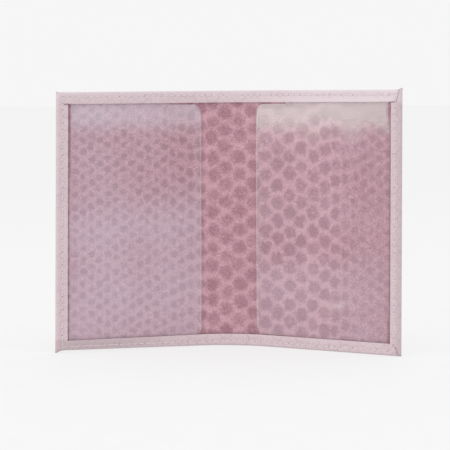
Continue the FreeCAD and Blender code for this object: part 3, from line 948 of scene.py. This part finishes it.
def cut_edge():
    """The hem's cut edge: dark raw fibres, made darker still to paint the shadow in the gap along the hem's
    inner edge.
    """
    m = Material("cut_edge")
    skin = m.attribute("skin", "Vector")
    fibre = m.noise(2.5, 4, 0.7, skin)
    tone = m.mix(m.ramp(fibre, 0.3, 0.7), rgb(104, 78, 86), rgb(142, 110, 119))
    return m.finish(
        Base_Color=tone, Roughness=0.85, Normal=m.bump(fibre, 0.0002, 0.6), Specular_IOR_Level=0.2)


def film_gloss():
    """The film's front: what it reflects, clear as glass between the reflections."""
    m = Material("film_gloss")
    skin = m.attribute("skin", "Vector")
    facing = m.math("SUBTRACT", m.add("ShaderNodeFresnel", {"IOR": 1.5}), 0.028)
    mirror = m.math("MULTIPLY", facing, 1.2, clamp=True)
    rough = m.ramp(m.noise(0.5, 3, vector=skin), 0.3, 0.7, 0.09, 0.15)
    ripple = m.noise(0.09, 2, vector=skin)
    return m.finish(
        Base_Color=(0.95, 0.95, 0.95), Metallic=1.0, Roughness=rough, Alpha=mirror,
        Normal=m.bump(ripple, 0.0006, 0.3))


def film_haze():
    """The film's back: its slight milkiness, fine scuffs, painted reflection, and a painted highlight along
    its cut edge.
    """
    m = Material("film_haze")
    skin = m.attribute("skin", "Vector")
    scuff = m.ramp(m.noise(0.9, 4, 0.7, skin, 1.5), 0.55, 0.8, 0.0, 0.02)
    # Painted highlight along the film's cut edges.
    rim = m.math("MULTIPLY", m.attribute("rim"), 0.5)
    alpha = m.math("ADD", m.math("ADD", m.attribute("milk_and_reflection"), scuff), rim, clamp=True)
    tone = m.mix(m.noise(0.05, 2, vector=skin), rgb(192, 192, 198), rgb(202, 198, 200))
    # The right film's painted haze and reflection are warmer than the left's.
    tone = m.mix(m.ramp(m.attribute("across"), -5, 5), tone, rgb(210, 209, 200))
    return m.finish(Base_Color=tone, Roughness=0.5, Specular_IOR_Level=0.3, Alpha=alpha)


def cotton_thread():
    """Pale cotton thread, two-ply, with fine fibres."""
    m = Material("cotton_thread")
    ply = m.ramp(m.math("COSINE", m.attribute("twist")), -1, 1)
    fibre = m.noise(4500, 3, 0.7, m.add("ShaderNodeTexCoord", output="Object"))
    tone = m.mix(ply, rgb(206, 188, 193), rgb(240, 230, 232))
    tone = m.mix(m.math("MULTIPLY", fibre, 0.3), tone, rgb(212, 196, 200))
    return m.finish(
        Base_Color=tone, Roughness=0.75, Normal=m.bump(fibre, 0.00005, 0.6), Sheen_Weight=0.3)


# ---------------------------------------------------------------- camera, light and floor

VIEW_YAW, VIEW_TILT, VIEW_ROLL = math.radians(5.9025), math.radians(4.0987), math.radians(-0.2559)
VIEW_DISTANCE, VIEW_LENS, SENSOR_WIDTH, VIEW_LIMIT = 926.06, 141.06, 36, 100
# The point the camera looks at: left of the spine's middle and above the table.
AIM_LEFT, AIM_UP = 4.56, 63.57
PALE_GREY = rgb(246, 246, 246)


def add_camera():
    data = bpy.data.cameras.new("camera")
    data.lens = VIEW_LENS
    data.sensor_width = SENSOR_WIDTH
    data.clip_end = VIEW_LIMIT
    camera = bpy.data.objects.new("camera", data)
    forward = Vector((
        -math.sin(VIEW_YAW) * math.cos(VIEW_TILT), math.cos(VIEW_YAW) * math.cos(VIEW_TILT),
        -math.sin(VIEW_TILT)))
    aim = Vector((
        -AIM_LEFT * math.cos(VIEW_YAW), AXIS_Y + SPINE_RADIUS - AIM_LEFT * math.sin(VIEW_YAW), AIM_UP))
    camera.location = (aim - forward * VIEW_DISTANCE) * MM
    level = forward.to_track_quat("-Z", "Y").to_matrix()
    camera.rotation_euler = (level @ Matrix.Rotation(VIEW_ROLL, 3, "Z")).to_euler()
    bpy.context.scene.collection.objects.link(camera)
    bpy.context.scene.camera = camera


def add_softbox(name, location, aim, size, power):
    data = bpy.data.lights.new(name, "AREA")
    data.shape = "RECTANGLE"
    data.size, data.size_y = size
    data.energy = power
    lamp = bpy.data.objects.new(name, data)
    lamp.location = location
    lamp.rotation_euler = (Vector(aim) - Vector(location)).to_track_quat("-Z", "Y").to_euler()
    bpy.context.scene.collection.objects.link(lamp)


def add_studio():
    scene = bpy.context.scene
    scene.view_settings.view_transform = "Standard"
    world = bpy.data.worlds.new("studio")
    world.use_nodes = True
    back = next(node for node in world.node_tree.nodes if node.type == "BACKGROUND")
    back.inputs["Color"].default_value = (*PALE_GREY, 1)
    back.inputs["Strength"].default_value = 1.0
    scene.world = world
    middle = (0, 0, HEIGHT / 2 * MM)
    add_softbox("overhead_softbox", (0.2, -0.3, 1.4), middle, (1.2, 1.0), 3.0)
    # Two low softboxes beside the camera shine back from the tops of the films.
    add_softbox("left_softbox", (-1.6, -1.2, 0.33), middle, (1.1, 0.4), 6.0)
    add_softbox("right_softbox", (1.34, -1.49, 0.33), middle, (0.9, 0.35), 1.0)


FLOOR_GLOW = 0.72
FLOOR_REACH = 30.0
# The floor lies this far under the leather, so that the two never share a plane.
FLOOR_DROP = 0.00005


def add_floor():
    """A plain pale floor; its own glow, as of a lit table, keeps the shadows on it faint."""
    m = Material("pale_floor")
    grain = m.noise(60, 2, vector=m.add("ShaderNodeTexCoord", output="Object"))
    tone = m.mix(m.ramp(grain, 0.4, 0.6), rgb(244, 244, 244), PALE_GREY)
    made = m.finish(
        Base_Color=m.mix(1.0, tone, (1 - FLOOR_GLOW,) * 3, "MULTIPLY"), Roughness=0.9,
        Specular_IOR_Level=0.0, Emission_Color=PALE_GREY, Emission_Strength=FLOOR_GLOW)
    mesh = bpy.data.meshes.new("floor")
    far = FLOOR_REACH
    mesh.from_pydata([(-far, -far, 0), (far, -far, 0), (far, far, 0), (-far, far, 0)], [], [(0, 1, 2, 3)])
    mesh.materials.append(made)
    floor = bpy.data.objects.new("floor", mesh)
    floor.location.z = -FLOOR_DROP
    bpy.context.scene.collection.objects.link(floor)


# ---------------------------------------------------------------- the whole object

LIP_BEND = 8


def bend_with_spine(piece, side):
    """Works out the ends of the bend beside the spine, which nothing uses, and bakes the piece's transform
    into its mesh.
    """
    start, end = (Vector(place(side * reach, 0, 0)) * MM for reach in (BEND_START + 1e-6, BEND_END))
    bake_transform(piece)


def bend_with_lip(piece, side):
    """Works out the ends of the bend over the first part of the film's lip, which nothing uses, and bakes the
    piece's transform into its mesh.
    """
    kink = MOUTH[side] + LIP_LENGTH
    start, end = (Vector(place(side * reach, HEIGHT / 2, 0)) * MM for reach in (kink, kink - LIP_BEND))
    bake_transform(piece)


def add_half(side, grain, flesh, edge, thread, gloss, haze):
    """One half's leather, stitching and film, made in place of its CAD nodes, which are hidden."""
    name = SIDE_NAMES[side]
    leather = leather_half(side, grain, flesh, edge)
    bend_with_spine(leather, side)
    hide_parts(f"{name}_cover_panel", f"{name}_side_hem", f"{name}_top_hem", f"{name}_bottom_hem")
    stitching = thread_half(side, thread)
    bend_with_spine(stitching, side)
    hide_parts(f"{name}_side_stitches", f"{name}_top_stitches", f"{name}_bottom_stitches")
    film = film_sheet(side, gloss, haze)
    bend_with_lip(film, side)
    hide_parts(f"{name}_flap", f"{name}_flap_lip")
    # Clear film casts no shadow of its own and lets diffuse light by; its shade is painted on the leather
    # under it instead.
    film.visible_shadow = False
    film.visible_diffuse = False
    if side == LEFT:
        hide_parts("spine_panel", "spine_top_hem", "spine_bottom_hem")
        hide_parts("spine_top_stitches", "spine_bottom_stitches")


add_camera()
add_studio()
add_floor()
makers = (grain_leather, flesh_leather, cut_edge, cotton_thread, film_gloss, film_haze)
materials = [make() for make in makers]
for side in (LEFT, RIGHT):
    add_half(side, *materials)
